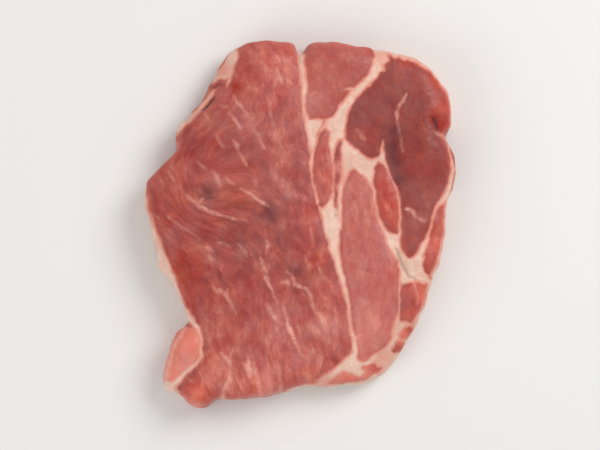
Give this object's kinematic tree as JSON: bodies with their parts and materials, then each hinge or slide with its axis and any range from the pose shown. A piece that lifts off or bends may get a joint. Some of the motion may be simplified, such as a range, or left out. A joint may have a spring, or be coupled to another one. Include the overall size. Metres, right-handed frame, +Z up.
{
  "type": "raw pork collar steak",
  "caption": "Boneless slice of raw pork collar with crowned muscles, seams of fat and a rounded irregular margin, lying flat.",
  "frame": {"origin": "under the middle of the slice's box, on the surface that it lies on", "axes": "+Z up from the lower cut face, +X across the slice and +Y along it"},
  "size_m": [0.092, 0.108, 0.017],
  "materials": {
    "raw_meat": "moist raw lean, dull red, with creamy seams of fat"
  },
  "bodies": {
    "root": {"steak": "raw_meat"}
  },
  "joints": []
}
